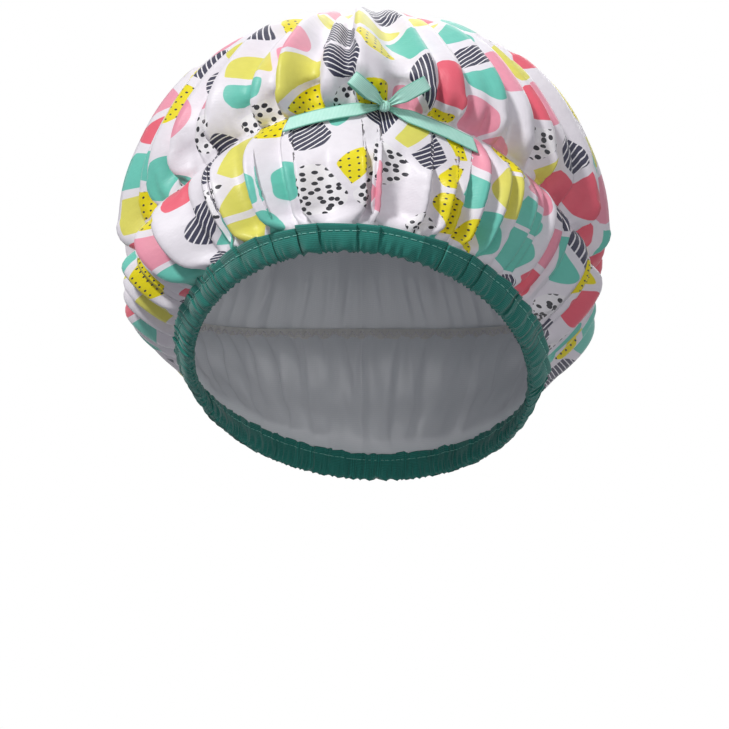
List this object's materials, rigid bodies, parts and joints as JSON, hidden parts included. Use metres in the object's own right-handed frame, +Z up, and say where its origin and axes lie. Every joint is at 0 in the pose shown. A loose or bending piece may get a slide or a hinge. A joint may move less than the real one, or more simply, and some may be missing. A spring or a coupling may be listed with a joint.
{
  "type": "shower cap",
  "caption": "Bouffant shower cap: lined round of printed cloth gathered into an elastic bound hem and a second ring, with a ribbon bow in front.",
  "frame": {"origin": "middle of the head opening, level with the height the hem crosses over the ears", "axes": "+Z up towards the crown, -Y out of the front where the bow is, +X to the right as seen from the front"},
  "size_m": [0.206, 0.2224, 0.2031],
  "materials": {
    "printed_satin": "white polyester satin with a bright geometric print",
    "waterproof_lining": "plain white coated cloth, slightly glossy",
    "teal_binding": "plain woven teal strip, matt",
    "elastic": "white knitted elastic tape",
    "teal_thread": "light teal sewing thread",
    "white_thread": "white sewing thread",
    "mint_ribbon": "mint satin ribbon with woven edges"
  },
  "bodies": {
    "cap": {"outer_cap": "printed_satin", "lining": "waterproof_lining", "hem_binding": "teal_binding", "hem_elastic": "elastic", "hem_top_thread": "teal_thread", "hem_bobbin_thread": "teal_thread", "gather_elastic": "elastic", "gather_top_thread": "white_thread", "gather_bobbin_thread": "white_thread", "bow_knot": "mint_ribbon", "bow_tack_thread": "teal_thread"},
    "left_loop": {"bow_loop_left": "mint_ribbon"},
    "right_loop": {"bow_loop_right": "mint_ribbon"},
    "left_tail": {"bow_tail_left": "mint_ribbon"},
    "right_tail": {"bow_tail_right": "mint_ribbon"}
  },
  "joints": [
    {"name": "left_loop_lift", "type": "hinge", "parent": "cap", "child": "left_loop", "pos_m": [0.00781, -0.08252, 0.10504], "axis": [0.6201, 0.0566, 0.7824], "range_deg": [0, 55], "stiffness_Nm_per_rad": 0.002},
    {"name": "right_loop_lift", "type": "hinge", "parent": "cap", "child": "right_loop", "pos_m": [0.01171, -0.08206, 0.10474], "axis": [0.4774, 0.0436, -0.8776], "range_deg": [0, 55], "stiffness_Nm_per_rad": 0.002},
    {"name": "left_tail_lift", "type": "hinge", "parent": "cap", "child": "left_tail", "pos_m": [0.00628, -0.07945, 0.10321], "axis": [-0.1206, -0.0722, 0.9901], "range_deg": [0, 60], "stiffness_Nm_per_rad": 0.0005},
    {"name": "right_tail_lift", "type": "hinge", "parent": "cap", "child": "right_tail", "pos_m": [0.01221, -0.07927, 0.1024], "axis": [-0.3848, 0.0418, -0.9221], "range_deg": [0, 60], "stiffness_Nm_per_rad": 0.0005}
  ]
}
